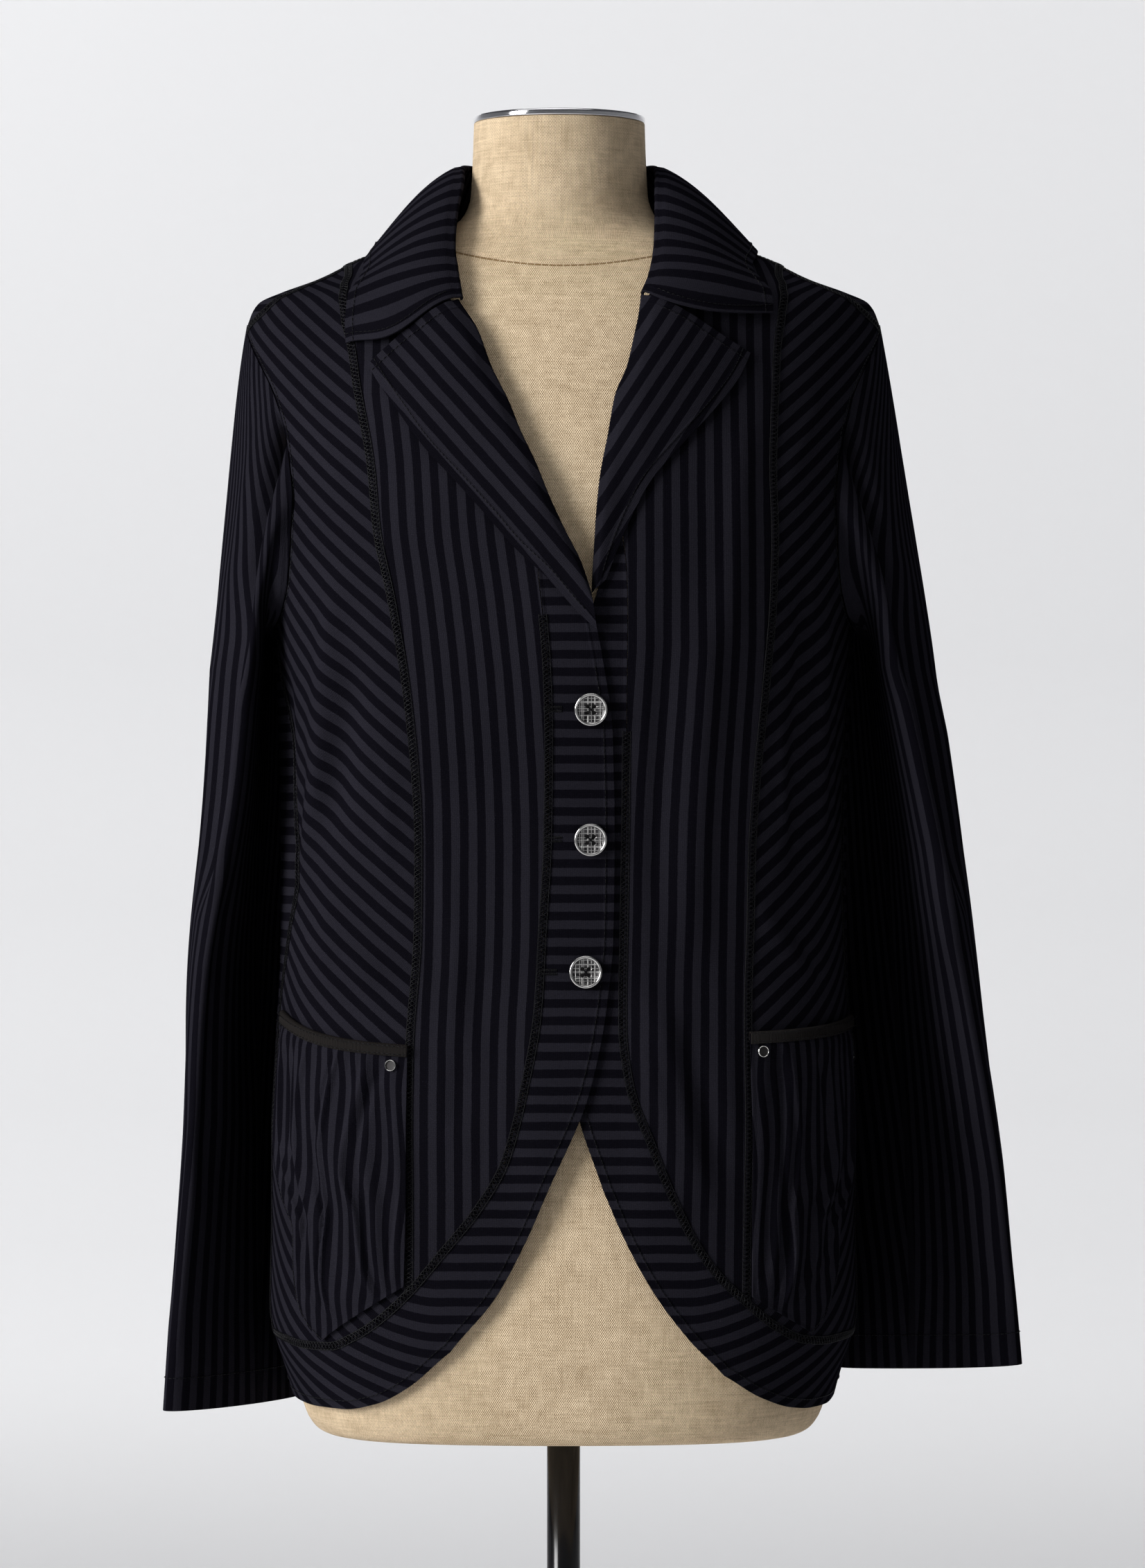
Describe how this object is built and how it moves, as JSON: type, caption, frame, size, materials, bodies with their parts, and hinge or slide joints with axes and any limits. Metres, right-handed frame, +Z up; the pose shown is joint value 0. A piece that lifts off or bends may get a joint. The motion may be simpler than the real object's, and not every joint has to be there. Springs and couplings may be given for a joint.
{
  "type": "blazer on a dress form",
  "caption": "Striped knit blazer with notched lapels, bound pockets and a cutaway front, closed over a linen dress form on a pole with a round base.",
  "frame": {"origin": "centre of the base's underside, on the floor", "axes": "+Z up along the pole, -Y to the front of the blazer, +X to the viewer's right, which is the wearer's left"},
  "size_m": [0.5257, 0.31, 1.576],
  "materials": {
    "cloth": "dark knit with tonal stripes",
    "tape": "ribbed binding tape",
    "linen": "natural linen canvas",
    "gunmetal": "dark plated metal",
    "chrome": "polished",
    "black_paint": "gloss black"
  },
  "bodies": {
    "root": {"back_left": "cloth", "back_right": "cloth", "collar_fall": "cloth", "collar_stand": "cloth", "front_band_left": "cloth", "front_band_right": "cloth", "front_left": "cloth", "front_right": "cloth", "hem_band_left": "cloth", "hem_band_right": "cloth", "lapel_left": "cloth", "lapel_right": "cloth", "pocket_left": "cloth", "pocket_right": "cloth", "side_back_left": "cloth", "side_back_right": "cloth", "side_front_left": "cloth", "side_front_right": "cloth", "sleeve_left": "cloth", "sleeve_right": "cloth", "pocket_binding_left": "tape", "pocket_binding_right": "tape", "form_torso": "linen", "badge": "gunmetal", "button_1": "gunmetal", "button_2": "gunmetal", "button_3": "gunmetal", "rivet_left": "gunmetal", "rivet_right": "gunmetal", "neck_cap": "chrome", "base": "black_paint", "pole": "black_paint"}
  },
  "joints": []
}
